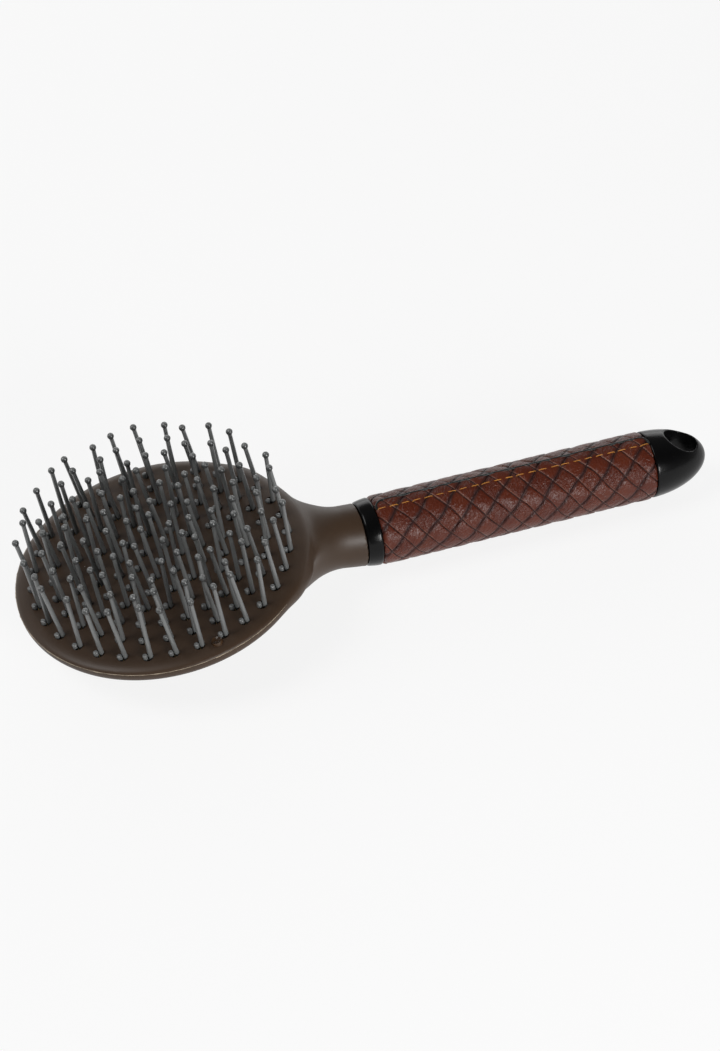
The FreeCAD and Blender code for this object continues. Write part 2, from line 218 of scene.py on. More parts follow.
FLOAT = "NodeSocketFloat"
COLOR = "NodeSocketColor"


def placed(points):
    """Points drawn about the handle's axis from the neck joint, in mm, put in the frame."""
    return (np.asarray(points, dtype=float) + (JOINT_X, 0, GRIP_RADIUS)) * MM


def round_corner(one, other, radius):
    """What lies inside both of two distances, its edge rounded."""
    both = np.hypot(np.maximum(one + radius, 0), np.maximum(other + radius, 0))
    return np.minimum(-radius, np.maximum(one, other)) + both


def flowing_union(one, other, reach):
    """What lies inside either of two distances, its inner corner filled out."""
    mix = np.maximum(reach - np.abs(one - other), 0) / reach
    return np.minimum(one, other) - mix ** 3 * reach / 6


def soft_edge(outward, above):
    """What lies below the face and inside the rim, with a wide soft edge between them."""
    least = 0.02
    u = np.maximum((outward - HEAD_RADIUS) / EDGE_WIDTH + 1, least)
    w = np.maximum(above / EDGE_DROP + 1, least)
    q = np.hypot(u, w)
    return q * (q - 1) / np.hypot(u / EDGE_WIDTH, w / EDGE_DROP)


def head_distance(p):
    """Distance in mm from a point to the skin of the head, without tang and holes."""
    x, y, z = p[..., 0], p[..., 1], p[..., 2]
    tilt_cos, tilt_sin = math.cos(FACE_TILT), math.sin(FACE_TILT)
    dx, dz = x - FACE_CENTRE.x, z - FACE_CENTRE.z
    along, above = dx * tilt_cos + dz * tilt_sin, dz * tilt_cos - dx * tilt_sin
    outward = np.hypot(along, y)
    dome = np.hypot(outward, above - (DOME_RADIUS - HEAD_THICKNESS)) - DOME_RADIUS
    disc = round_corner(soft_edge(outward, above), dome, radius=1.0)
    # The neck is a horn that rises a little towards the head, cut off below by its belly
    horn_x, horn_z = x * tilt_cos - z * tilt_sin, x * tilt_sin + z * tilt_cos
    into_flare = np.clip(horn_x, FLARE_END, STEM_END) - STEM_END
    flare = STEM_RADIUS + FLARE_RADIUS - np.sqrt(FLARE_RADIUS ** 2 - into_flare ** 2)
    stem = STEM_RADIUS + STEM_WIDENING * (horn_x - STEM_END)
    into_keel = (KEEL_START - horn_x) / (NECK_LENGTH + KEEL_START)
    keel = KEEL_RADIUS + (KEEL_TIP_RADIUS - KEEL_RADIUS) * into_keel
    wide = np.where(horn_x > STEM_END, stem, flowing_union(flare, keel, reach=9.0))
    horn = (np.hypot(y, horn_z) - wide) * 0.8
    belly = np.hypot(y, z - BELLY_CENTRE) - BELLY_RADIUS
    neck = round_corner(horn, belly, radius=3.0)
    neck = round_corner(neck, -(x + NECK_LENGTH), radius=2.0)
    neck = round_corner(neck, above + NECK_BELOW_FACE, radius=4.0)
    # A gusset under the rim on each side carries the flare out into the disc
    gusset_top = above + GUSSET_BELOW_FACE
    gusset = along * math.cos(GUSSET_TURN) + np.abs(y) * math.sin(GUSSET_TURN) - GUSSET_OUT
    gusset = round_corner(gusset, GUSSET_START - along, radius=6.0)
    gusset = round_corner(gusset, gusset_top, radius=1.4)
    gusset = round_corner(gusset, -(gusset_top + GUSSET_THICK), radius=1.4)
    falling = (gusset_top + GUSSET_SLOPE * (along - GUSSET_FALL)) / 1.35
    gusset = round_corner(gusset, falling, radius=2.0)
    neck = flowing_union(neck, gusset, reach=10.0)
    return round_corner(flowing_union(disc, neck, reach=7.0), x, radius=0.25)


def skin(name, distance, low, high, cell):
    """A closed mesh of the zero surface of a distance inside a box, put in the frame."""
    axes = [np.arange(a - cell, b + 2 * cell, cell) for a, b in zip(low, high)]
    grid = np.stack(np.meshgrid(*axes, indexing="ij"), -1)
    inside = distance(grid) < 0
    nx, ny, nz = (n - 1 for n in inside.shape)
    filled = sum(inside[i:i + nx, j:j + ny, k:k + nz].astype(np.int8)
                 for i in (0, 1) for j in (0, 1) for k in (0, 1))
    crossed = (filled > 0) & (filled < 8)
    number = np.full(crossed.shape, -1, dtype=np.int64)
    number[crossed] = np.arange(crossed.sum())
    points = grid[:-1, :-1, :-1][crossed] + cell / 2
    quads = []
    for axis in range(3):
        one, two = [a for a in range(3) if a != axis]
        near, far = [slice(1, -1)] * 3, [slice(1, -1)] * 3
        near[axis], far[axis] = slice(0, -1), slice(1, None)
        before, after = inside[tuple(near)], inside[tuple(far)]
        around = []
        for i, j in ((0, 0), (1, 0), (1, 1), (0, 1)):
            window = [slice(None)] * 3
            window[one] = slice(0, -1) if i else slice(1, None)
            window[two] = slice(0, -1) if j else slice(1, None)
            around.append(number[tuple(window)])
        ring = np.stack(around, -1)
        for start, flip in ((before & ~after, axis == 1), (after & ~before, axis != 1)):
            quads.append(ring[start][:, ::-1] if flip else ring[start])
    quads = np.concatenate(quads)

    nudge = 0.02

    def settle(points):
        """One step onto the surface along the distance's slope."""
        slope = np.stack([distance(points + step) - distance(points - step)
                          for step in np.eye(3) * nudge], -1) / (2 * nudge)
        steep = np.maximum((slope ** 2).sum(-1), 0.05)
        return points - slope * (distance(points) / steep)[:, None]

    sides = np.concatenate([quads[:, [a, b]] for a, b in ((0, 1), (1, 2), (2, 3), (3, 0))])
    for turn in range(3):
        points = settle(points)
        total, count = np.zeros_like(points), np.zeros(len(points))
        for a, b in ((0, 1), (1, 0)):
            np.add.at(total, sides[:, a], points[sides[:, b]])
            np.add.at(count, sides[:, a], 1)
        points = (points + total / count[:, None]) / 2
    for turn in range(3):
        points = settle(points)
    mesh = mesh_of(name, placed(points), quads.tolist())
    mesh.shade_smooth()
    return mesh


def band(one, other, sides):
    """The faces between two rings of points, given the number of each ring's first point."""
    return [(one + k, one + (k + 1) % sides, other + (k + 1) % sides, other + k)
            for k in range(sides)]


def rods(name, places, low, high, radius, sides):
    """Closed cylinders on the local z axis of each place, from low to high, in mm."""
    verts, faces = [], []
    for place in places:
        first = len(verts)
        for z in (low, high):
            for k in range(sides):
                turn = 2 * math.pi * k / sides
                verts.append(place @ Vector((radius * math.cos(turn), radius * math.sin(turn), z)))
        faces += band(first, first + sides, sides)
        faces += [[first + k for k in reversed(range(sides))],
                  [first + sides + k for k in range(sides)]]
    return mesh_of(name, placed(verts), faces)


def carve(thing, tool_mesh, operation):
    """Cut the tool out of the object, or join it on, and keep the plain result."""
    tool = shown("tool", tool_mesh)
    cutter = thing.modifiers.new("cut", "BOOLEAN")
    cutter.operation = operation
    cutter.solver = "EXACT"
    cutter.object = tool
    graph = bpy.context.evaluated_depsgraph_get()
    result = bpy.data.meshes.new_from_object(thing.evaluated_get(graph))
    thing.modifiers.remove(cutter)
    thing.data = result
    bpy.data.objects.remove(tool)


def smooth_but_sharp(mesh, degrees):
    """Smooth shading that breaks where two faces meet at more than an angle."""
    mesh.shade_smooth()
    mesh.set_sharp_from_angle(angle=math.radians(degrees))


# Where the pins stand: rings about the middle of the face, each pin leaning its own way
RING_COUNTS = (1, 6, 12, 18, 24, 28, 32)
RING_STEP = 7.0
RING_TURN = 2.0
LEAN_AT_RIM = (0.5, 0.85)
LEAN_BACK = 1.0
LEAN_WOBBLE = 3.5
WOBBLE_TURNS = (0.381, 0.273)
HOLE_RADIUS = 1.8
HOLE_DEPTH = 5.5
FACE_PLACE = Matrix.Translation(FACE_CENTRE) @ Matrix.Rotation(-FACE_TILT, 4, "Y")


def pin_places(ring):
    """The placements of one ring's pins in mm, drawn about the handle's axis."""
    rim = RING_STEP * (len(RING_COUNTS) - 1)
    for step in range(RING_COUNTS[ring]):
        turn = math.radians(RING_TURN + 360 * step / RING_COUNTS[ring])
        x, y = RING_STEP * ring * math.cos(turn), RING_STEP * ring * math.sin(turn)
        number = sum(RING_COUNTS[:ring]) + step
        wobble = [LEAN_WOBBLE * math.sin(2 * math.pi * turns * number) for turns in WOBBLE_TURNS]
        along = LEAN_AT_RIM[0] * x / rim - LEAN_BACK + wobble[0]
        across = LEAN_AT_RIM[1] * y / rim + wobble[1]
        lean = (Matrix.Rotation(math.radians(along), 4, "Y")
                @ Matrix.Rotation(math.radians(-across), 4, "X"))
        yield FACE_PLACE @ Matrix.Translation((x, y, 0)) @ lean


head = shown("head", skin("head", head_distance, low=(-116.4, -48.6, -12.0),
                          high=(0.3, 48.6, 17.2), cell=HEAD_CELL))
tang_place = Matrix.Rotation(math.radians(90), 4, "Y")
carve(head, rods("tang", [tang_place], low=-2.0, high=TANG_LENGTH, radius=TANG_RADIUS, sides=32),
      "UNION")
every_place = [place for ring in range(len(RING_COUNTS)) for place in pin_places(ring)]
carve(head, rods("pin holes", every_place, low=-HOLE_DEPTH, high=2.0, radius=HOLE_RADIUS,
                 sides=24), "DIFFERENCE")
smooth_but_sharp(head.data, 35)
head.data.name = "head"


def new_group(name, inputs, outputs):
    """A shader node group with named inputs (name, kind, value) and outputs (name, kind)."""
    group = bpy.data.node_groups.new(name, "ShaderNodeTree")
    for label, kind, value in inputs:
        group.interface.new_socket(label, in_out="INPUT", socket_type=kind).default_value = value
    for label, kind in outputs:
        group.interface.new_socket(label, in_out="OUTPUT", socket_type=kind)
    return group, group.nodes.new("NodeGroupInput"), group.nodes.new("NodeGroupOutput")


def mix_node(tree, factor, first, second):
    """A colour between two colours, each of them a value or a socket."""
    node = tree.nodes.new("ShaderNodeMix")
    node.data_type = "RGBA"
    for name, value in (("Factor", factor), ("A", first), ("B", second)):
        feed(tree, next(s for s in node.inputs if s.name == name and s.enabled), value)
    return next(s for s in node.outputs if s.name == "Result" and s.enabled)


# Moulded plastic: a colour that drifts a little, specks of dust, and a fine skin
moulded, taken, given = new_group(
    "moulded plastic",
    [("Color", COLOR, (0.1, 0.1, 0.1, 1)), ("Drift", FLOAT, 0.2), ("Dust", FLOAT, 0.02),
     ("Skin Scale", FLOAT, 900.0), ("Roughness", FLOAT, 0.4)],
    [("Color", COLOR), ("Roughness", FLOAT), ("Height", FLOAT)])
where = new_node(moulded, "ShaderNodeTexCoord", "Object")
cloud = new_node(moulded, "ShaderNodeTexNoise", "Fac", Vector=where, Scale=70.0, Detail=4.0)
drift = number_node(moulded, "SUBTRACT", cloud, 0.5)
swing = number_node(moulded, "MULTIPLY_ADD", drift, taken.outputs["Drift"], 1.0)
tinted = moulded.nodes.new("ShaderNodeVectorMath")
tinted.operation = "SCALE"
moulded.links.new(taken.outputs["Color"], tinted.inputs[0])
moulded.links.new(swing, tinted.inputs["Scale"])
specks = new_node(moulded, "ShaderNodeTexVoronoi", None, Vector=where, Scale=420.0)
rare = new_node(moulded, "ShaderNodeSeparateColor", "Red", Color=specks.outputs["Color"])
is_speck = number_node(moulded, "LESS_THAN", rare, taken.outputs["Dust"])
spot = ramp_node(moulded, specks.outputs["Distance"], 0.06, 0.10, 1.0, 0.0)
spot = number_node(moulded, "MULTIPLY", spot, is_speck)
colour = mix_node(moulded, spot, tinted.outputs[0], DUST_GREY)
moulded.links.new(colour, given.inputs["Color"])
moulded.links.new(number_node(moulded, "MULTIPLY_ADD", drift, 0.16, taken.outputs["Roughness"]),
                  given.inputs["Roughness"])
fine = new_node(moulded, "ShaderNodeTexNoise", "Fac", Vector=where,
                Scale=taken.outputs["Skin Scale"], Detail=3.0)
moulded.links.new(fine, given.inputs["Height"])


def moulded_material(name, color, drift, dust, skin_scale, roughness, relief, specular=0.32):
    """A plastic whose colour, roughness and fine skin come from the moulded plastic group."""
    material, tree, shader = new_material(name)
    group = tree.nodes.new("ShaderNodeGroup")
    group.node_tree = moulded
    for label, value in (("Color", color), ("Drift", drift), ("Dust", dust),
                         ("Skin Scale", skin_scale), ("Roughness", roughness)):
        group.inputs[label].default_value = value
    bump = new_node(tree, "ShaderNodeBump", "Normal", Height=group.outputs["Height"],
                    Distance=relief)
    tree.links.new(group.outputs["Color"], shader.inputs["Base Color"])
    tree.links.new(group.outputs["Roughness"], shader.inputs["Roughness"])
    tree.links.new(bump, shader.inputs["Normal"])
    shader.inputs["Specular IOR Level"].default_value = specular
    return material


def finish_piece(piece, material, slot, *nodes):
    """Give a piece its material and body; the nodes it stands for are hidden. slot is not used."""
    piece.data.materials.clear()
    piece.data.materials.append(material)
    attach(piece, "root")
    if nodes:
        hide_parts(*nodes)


head_material = moulded_material("dark brown plastic", HEAD_BROWN, drift=0.25, dust=0.03,
                                 skin_scale=650.0, roughness=0.44, relief=0.00002)
finish_piece(head, head_material, "head_plastic", "head_body")


# Mould flash
# A thin ragged fin of the same plastic, low on the rim, which was pressed out between the
# two halves of the mould.

FLASH_BELOW_FACE = 1.5
FLASH_ROOT = -0.3
FLASH_STEPS = 720
FLASH_BROWN = (0.46, 0.38, 0.28, 1.0)

flash_verts, flash_faces = [], []
for step in range(FLASH_STEPS):
    turn = 2 * math.pi * step / FLASH_STEPS
    ragged = (math.sin(7.3 * turn + 1) * math.sin(23 * turn) + 0.7 * math.sin(61 * turn + 2)
              + 0.5 * math.sin(137 * turn))
    reach = 0.03 + 0.09 * max(0.0, ragged)
    thick = 0.085 + 0.035 * math.sin(43 * turn)
    for outward, down in ((FLASH_ROOT, -thick), (reach, -0.3 * thick),
                          (reach, 0.3 * thick), (FLASH_ROOT, thick)):
        radius = HEAD_RADIUS + outward
        flash_verts.append(FACE_PLACE @ Vector((radius * math.cos(turn), radius * math.sin(turn),
                                                -FLASH_BELOW_FACE - down)))
    a, b = 4 * step, 4 * ((step + 1) % FLASH_STEPS)
    flash_faces += [(a + k, b + k, b + (k + 1) % 4, a + (k + 1) % 4) for k in range(4)]
flash = shown("mould_flash", mesh_of("mould_flash", placed(flash_verts), flash_faces))
flash_material = moulded_material("thin brown plastic", FLASH_BROWN, drift=0.9, dust=0.0,
                                  skin_scale=900.0, roughness=0.30, relief=0.00002)
finish_piece(flash, flash_material, "head_plastic")


# Gate mark
# The short nub that is left near the rim of the face where the plastic ran into the mould,
# nipped off with a ragged top.

GATE_PLACE = (6.9, -43.1)
GATE_RADIUS = 1.75
GATE_SLANT = 0.16
GATE_SIDES = 20
GATE_BROWN = (0.045, 0.022, 0.009, 1.0)
# Each ring of the nub: its share of the radius, its height and how ragged it is
GATE_RINGS = ((1.12, -0.6, 0), (1.0, 0.55, 0), (0.93, 0.85, 0.10), (0.72, 0.70, 0.12),
              (0.45, 0.50, 0.05))

gate_verts, gate_faces = [], []
for share, height, ragged in GATE_RINGS:
    radius = GATE_RADIUS * share
    for k in range(GATE_SIDES):
        turn = 2 * math.pi * k / GATE_SIDES
        rise = (height + ragged * math.sin(3 * turn + 1) + ragged * math.sin(7 * turn)
                + GATE_SLANT * math.sin(turn + 2.2))
        gate_verts.append(FACE_PLACE @ Vector((GATE_PLACE[0] + radius * math.cos(turn),
                                               GATE_PLACE[1] + radius * math.sin(turn), rise)))
top = (len(GATE_RINGS) - 1) * GATE_SIDES
for first in range(0, top, GATE_SIDES):
    gate_faces += band(first, first + GATE_SIDES, GATE_SIDES)
gate_faces += [tuple(range(GATE_SIDES - 1, -1, -1)), tuple(range(top, top + GATE_SIDES))]
gate = shown("gate_mark", mesh_of("gate_mark", placed(gate_verts), gate_faces))
smooth_but_sharp(gate.data, 50)
gate_material = moulded_material("nipped brown plastic", GATE_BROWN, drift=1.2, dust=0.0,
                                 skin_scale=1200.0, roughness=0.25, relief=0.0001)
finish_piece(gate, gate_material, "head_plastic")


# Pins
# Each pin is one grey nylon filament folded in half: a short stub, and a long leg that is
# drawn a little thinner towards the end, which is melted into a drop.

FOLD_RADIUS = 0.875
FOLD_DEPTH = 3.6
FOLD_THICK = 0.72
STUB_HEIGHT = 1.3
PIN_HEIGHT = 20.7
FOOT_RADIUS = 0.82
NECK_RADIUS = 0.68
DROP_RADIUS = 1.16
DROP_MIDDLE = PIN_HEIGHT - 0.06
PIN_SIDES = 12
PIN_GREY = (0.150, 0.154, 0.153, 1.0)
# Painted shade for the tops of the drops
DROP_SHADE_GREY = (0.050, 0.052, 0.052, 1.0)


def filament_line():
    """The points of one folded filament and its radius at each, in mm."""
    line = []
    for lower, share in ((0.0, 0.45), (0.04, 0.68), (0.13, 0.86), (0.28, 0.97), (0.45, 1.0)):
        line.append((-FOLD_RADIUS, STUB_HEIGHT - lower, FOOT_RADIUS * share))
    for turn in range(0, 181, 30):
        a = math.radians(turn)
        line.append((-FOLD_RADIUS * math.cos(a), -FOLD_DEPTH - FOLD_RADIUS * math.sin(a),
                     FOLD_THICK))
    for height in (0.0, 4.0, 8.0, 12.0, 15.5, 18.0):
        share = height / PIN_HEIGHT
        line.append((FOLD_RADIUS, height, FOOT_RADIUS + (NECK_RADIUS - FOOT_RADIUS) * share))
    for lower, wider in ((1.75, 0.03), (1.15, 0.06)):
        line.append((FOLD_RADIUS, PIN_HEIGHT - lower, NECK_RADIUS + wider))
    for turn in (-38, -15, 8, 30, 50, 68, 80):
        a = math.radians(turn)
        line.append((FOLD_RADIUS, DROP_MIDDLE + DROP_RADIUS * math.sin(a),
                     DROP_RADIUS * math.cos(a)))
    line.append((FOLD_RADIUS, DROP_MIDDLE + DROP_RADIUS - 0.02, 0.04))
    return line


def line_object(name, line):
    """A polyline whose points hold their own radius, for a tree to sweep, in metres."""
    mesh = mesh_of(name, [(x * MM, 0, z * MM) for x, z, radius in line],
                   edges=[(k, k + 1) for k in range(len(line) - 1)])
    thick = mesh.attributes.new("thick", "FLOAT", "POINT")
    thick.data.foreach_set("value", [radius * MM for x, z, radius in line])
    return shown(name, mesh)


def geometry_tree(name, inputs):
    """A Geometry Nodes tree with named inputs besides its geometry."""
    tree = bpy.data.node_groups.new(name, "GeometryNodeTree")
    tree.interface.new_socket("Geometry", in_out="INPUT", socket_type="NodeSocketGeometry")
    for label, kind in inputs:
        tree.interface.new_socket(label, in_out="INPUT", socket_type=kind)
    tree.interface.new_socket("Geometry", in_out="OUTPUT", socket_type="NodeSocketGeometry")
    taken = tree.nodes.new("NodeGroupInput").outputs
    return tree, taken, tree.nodes.new("NodeGroupOutput").inputs[0]


def stored_value(tree, name, kind):
    """The values of a named attribute of the geometry."""
    node = tree.nodes.new("GeometryNodeInputNamedAttribute")
    node.data_type = kind
    node.inputs["Name"].default_value = name
    return next(s for s in node.outputs if s.name == "Attribute" and s.enabled)


def baked(name, mesh, tree, **values):
    """The plain mesh that a tree makes of a mesh, as an object of that name."""
    piece = shown(name, mesh)
    modifier = piece.modifiers.new("build", "NODES")
    modifier.node_group = tree
    for item in tree.interface.items_tree:
        if item.in_out == "INPUT" and item.name in values:
            modifier[item.identifier] = values[item.name]
    graph = bpy.context.evaluated_depsgraph_get()
    result = bpy.data.meshes.new_from_object(piece.evaluated_get(graph))
    piece.modifiers.remove(modifier)
    piece.data = result
    result.name = name
    return piece


# The tree sweeps the filament once and sets a copy of it at every place
pin_tree, taken, finished = geometry_tree("set pins", [
    ("Filament", "NodeSocketObject"), ("Sides", "NodeSocketInt"),
    ("Material", "NodeSocketMaterial")])
path = new_node(pin_tree, "GeometryNodeObjectInfo", "Geometry", Object=taken["Filament"])
path = new_node(pin_tree, "GeometryNodeMeshToCurve", "Curve", Mesh=path)
round_wire = new_node(pin_tree, "GeometryNodeCurvePrimitiveCircle", "Curve",
                      Resolution=taken["Sides"], Radius=1.0)
filament = new_node(pin_tree, "GeometryNodeCurveToMesh", "Mesh", Curve=path,
                    Profile_Curve=round_wire, Scale=stored_value(pin_tree, "thick", "FLOAT"),
                    Fill_Caps=True)
filament = new_node(pin_tree, "GeometryNodeSetShadeSmooth", "Geometry", Geometry=filament)
copies = new_node(pin_tree, "GeometryNodeInstanceOnPoints", "Instances", Points=taken["Geometry"],
                  Instance=filament, Rotation=stored_value(pin_tree, "lean", "FLOAT_VECTOR"))
copies = new_node(pin_tree, "GeometryNodeRealizeInstances", "Geometry", Geometry=copies)
copies = new_node(pin_tree, "GeometryNodeSetMaterial", "Geometry", Geometry=copies,
                  Material=taken["Material"])
pin_tree.links.new(copies, finished)

# The melted drop is painted darker than the drawn filament: painted shade for its dimly lit top
pin_material = moulded_material("grey nylon", PIN_GREY, drift=0.3, dust=0.0, skin_scale=500.0,
                                roughness=0.2, relief=0.00003, specular=0.6)
tree = pin_material.node_tree
pin_color = tree.nodes["Principled BSDF"].inputs["Base Color"]
thickness = tree.nodes.new("ShaderNodeAttribute")
thickness.attribute_name = "thick"
is_drop = ramp_node(tree, thickness.outputs["Fac"], 0.80 * MM, 0.98 * MM, 0.0, 1.0)
tree.links.new(mix_node(tree, is_drop, pin_color.links[0].from_socket, DROP_SHADE_GREY), pin_color)
filament = line_object("filament", filament_line())
for ring in range(len(RING_COUNTS)):
    places = list(pin_places(ring))
    ring_mesh = mesh_of("places", placed([p.translation for p in places]))
    lean = ring_mesh.attributes.new("lean", "FLOAT_VECTOR", "POINT")
    lean.data.foreach_set("vector", [angle for p in places for angle in p.to_euler()])
    pins = baked("pins_%d" % ring, ring_mesh, pin_tree, Filament=filament, Sides=PIN_SIDES,
                 Material=pin_material)
    finish_piece(pins, pin_material, "pin_nylon", "pins_ring_%d" % ring if ring else "pin_centre")
bpy.data.objects.remove(filament)


# Collar
# A short turned ring of black plastic, wider where it meets the leather, pushed on the
# front land of the core.

COLLAR_LENGTH = 5.5
COLLAR_RADIUS = 10.65
COLLAR_WIDENING = 0.85
COLLAR_SWELL = 0.2
COLLAR_BORE = 9.0
NECK_GROOVE = 0.22
GRIP_GROOVE = 0.12
SATIN_BLACK = (0.0028, 0.0028, 0.0030, 1.0)


def collar_distance(p):
    """Distance in mm to the collar, a barrel that has a groove where it meets the neck."""
    x, out = p[..., 0], np.hypot(p[..., 1], p[..., 2])
    share = np.clip(x / COLLAR_LENGTH, 0, 1)
    outside = COLLAR_RADIUS + COLLAR_WIDENING * share + COLLAR_SWELL * 4 * share * (1 - share)
    ends = np.maximum(NECK_GROOVE - x, x - (COLLAR_LENGTH - GRIP_GROOVE))
    barrel = round_corner((out - outside) * 0.99, ends, radius=0.75)
    return round_corner(barrel, COLLAR_BORE - out, radius=0.2)


collar = shown("collar", skin("collar", collar_distance, low=(0, -11.9, -11.9),
                              high=(5.6, 11.9, 11.9), cell=0.3))
black_material = moulded_material("satin black plastic", SATIN_BLACK, drift=0.3, dust=0.008,
                                  skin_scale=700.0, roughness=0.22, relief=0.00003, specular=0.19)
finish_piece(collar, black_material, "black_plastic", "collar_ring")


# Leather
# One sheet of red brown leather, embossed with a slanting basket weave, is wrapped round
# the core. Its front edge is pared thin and laps over the back edge on top of the grip.

CORE_RADIUS = 10.3
GRIP_START = 5.5
GRIP_END = 102.7
AROUND = 2 * math.pi * GRIP_RADIUS
LAP_STEP = 0.7
LAP_WIDTH = 7.41
PARED = 0.66
TUCK = 4.6
FLAP_EDGE = -0.82
FLAP_CORNER = 3.4
END_ROLL = 0.75
END_ROLL_WIDTH = 1.4
# One cell of the weave is a step of STRAP and a step of CROSS, each (along, round) the grip
STRAP = (4.2, 5.7)
CROSS = (4.15, -4.35)
CELL_AREA = STRAP[0] * CROSS[1] - STRAP[1] * CROSS[0]
STRAP_WIDTHS = (6.97, 5.92)
WEAVE_START = (28.7, 6.8)
WANDER = (0.22, 0.25)
EMBOSS = 0.55
PAD_BULGE = 0.03
WALL_WIDTH = 0.09
CROWN_FALL = 0.22
DIVE = 0.58
LIP_WIDTH = 0.06
LEATHER_BROWN = (0.080, 0.0140, 0.0058, 1.0)
FADED_BROWN = (0.102, 0.0205, 0.0085, 1.0)
# Painted shade beside one set of the weave's lines
PAINTED_SHADE_BROWN = (0.035, 0.010, 0.008, 1.0)
# A painted highlight beside the other set of lines
PAINTED_HIGHLIGHT_BROWN = (0.24, 0.12, 0.09, 1.0)
# Painted shade in the grooves
GROOVE_SHADE_BROWN = (0.022, 0.006, 0.005, 1.0)


def lap_height(s):
    """How far the lapped flap stands above the grip at an arc length from the top."""
    share = np.clip((s - FLAP_EDGE) / LAP_WIDTH, 0, 1)
    return LAP_STEP * (1 - share) ** 2 * (1 + 2 * share)


def weave_place(x, s):
    """Where a point of the sheet lies in the weave, counted in straps that wander a little."""
    dx, ds = x - WEAVE_START[0], s - WEAVE_START[1]
    dx = dx + WANDER[0] * np.sin(0.31 * s + 0.11 * x)
    ds = ds + WANDER[1] * np.sin(0.23 * x - 0.17 * s)
    u = (dx * CROSS[1] - ds * CROSS[0]) / CELL_AREA
    v = (STRAP[0] * ds - STRAP[1] * dx) / CELL_AREA
    return (u + PAD_BULGE * np.cos(np.pi * u) * np.sin(np.pi * v),
            v - PAD_BULGE * np.sin(np.pi * u) * np.cos(np.pi * v))


def weave_height(u, v):
    """Emboss height, from 0 in the grooves to 1 on the crown of a strap."""
    fu, fv = u - np.floor(u) - 0.5, v - np.floor(v) - 0.5
    strap_over = (np.floor(u) + np.floor(v)) % 2 == 1
    along, across = np.where(strap_over, fu, fv), np.where(strap_over, fv, fu)
    wall = np.clip((0.5 - np.abs(across)) / WALL_WIDTH, 0, 1)
    wall = wall * wall * (3 - 2 * wall)
    crown = 1 - CROWN_FALL * (2 * np.abs(across)) ** 2
    dive = 1 - DIVE * np.abs(2 * along) ** 3
    lip = np.clip((0.5 - np.abs(along)) / LIP_WIDTH, 0, 1)
    return wall * crown * dive * (0.5 + 0.5 * lip)


# The flat sheet is a grid whose lines follow the straps, cut to size with rounded corners
steps = (0, 0.03, 0.06, 0.09, 0.14, 0.22, 0.36, 0.5, 0.64, 0.78, 0.86, 0.91, 0.94, 0.97)
sheet_start = Vector((GRIP_START, FLAP_EDGE))
sheet_end = Vector((GRIP_END, FLAP_EDGE + AROUND + TUCK))
limits = [weave_place(x, s) for x in (sheet_start.x, sheet_end.x)
          for s in (sheet_start.y, sheet_end.y)]
lines = [np.array([i + f for i in range(math.floor(min(c)) - 2, math.ceil(max(c)) + 2)
                   for f in steps]) for c in zip(*limits)]
u, v = np.meshgrid(*lines, indexing="ij")
flat_x = WEAVE_START[0] + u * STRAP[0] + v * CROSS[0]
flat_s = WEAVE_START[1] + u * STRAP[1] + v * CROSS[1]
near_x, near_s = flat_x.copy(), flat_s.copy()
for turn in range(6):
    got_u, got_v = weave_place(near_x, near_s)
    near_x += (u - got_u) * STRAP[0] + (v - got_v) * CROSS[0]
    near_s += (u - got_u) * STRAP[1] + (v - got_v) * CROSS[1]
margin = 2.5
wanted = ((near_x > sheet_start.x - margin) & (near_x < sheet_end.x + margin)
          & (near_s > sheet_start.y - margin) & (near_s < sheet_end.y + margin))
sheet = bmesh.new()
grid_verts = {}
whole = wanted[:-1, :-1] & wanted[1:, 1:] & wanted[1:, :-1] & wanted[:-1, 1:]
for i, j in zip(*np.nonzero(whole)):
    corners = []
    for key in ((i, j), (i, j + 1), (i + 1, j + 1), (i + 1, j)):
        if key not in grid_verts:
            grid_verts[key] = sheet.verts.new((near_x[key], near_s[key], 0))
        corners.append(grid_verts[key])
    sheet.faces.new(corners)


def cut_sheet(point, normal, clear):
    """Score the sheet along a line, and drop what lies beyond it if that is asked."""
    bmesh.ops.bisect_plane(sheet, geom=sheet.verts[:] + sheet.edges[:] + sheet.faces[:],
                           plane_co=(*point, 0), plane_no=(*normal, 0), clear_outer=clear,
                           dist=1e-5)


for point, normal in ((sheet_start, (-1, 0)), (sheet_start, (0, -1)),
                      (sheet_end, (1, 0)), (sheet_end, (0, 1))):
    cut_sheet(point, normal, clear=True)
for side, edge_x in ((-1, GRIP_START), (1, GRIP_END)):
    middle = Vector((edge_x - side * FLAP_CORNER, FLAP_EDGE + FLAP_CORNER))
    for turn in range(10, 90, 10):
        a = math.radians(turn)
        out = Vector((side * math.sin(a), -math.cos(a)))
        cut_sheet(middle + out * FLAP_CORNER, out, clear=True)
for inset in (0.1, 0.25, 0.45, 0.7, 1.0, END_ROLL_WIDTH):
    cut_sheet(sheet_start + Vector((inset, 0)), (1, 0), clear=False)
    cut_sheet(sheet_end - Vector((inset, 0)), (1, 0), clear=False)
cut_sheet((0, FLAP_EDGE + AROUND), (0, 1), clear=False)
cut_sheet((0, FLAP_EDGE + 0.25), (0, 1), clear=False)


def wound(x, s, radius):
    """A point of the sheet wound round the handle, in metres, in the frame."""
    turn = s / GRIP_RADIUS
    return Vector(placed((x, -radius * math.sin(turn), radius * math.cos(turn))))


def outer_radius(x, s):
    """How far the outside of the leather lies from the handle's axis."""
    sunk = EMBOSS * (1 - float(weave_height(*weave_place(x, s))))
    from_end = min(x - GRIP_START, GRIP_END - x)
    rolled = END_ROLL * max(0.0, 1 - from_end / END_ROLL_WIDTH) ** 2
    tucked = s - FLAP_EDGE - AROUND
    if tucked > 0:
        flap = GRIP_RADIUS + float(lap_height(FLAP_EDGE + tucked)) - PARED - EMBOSS
        return min(GRIP_RADIUS - sunk, flap - 0.05)
    return GRIP_RADIUS + float(lap_height(s)) - sunk - rolled


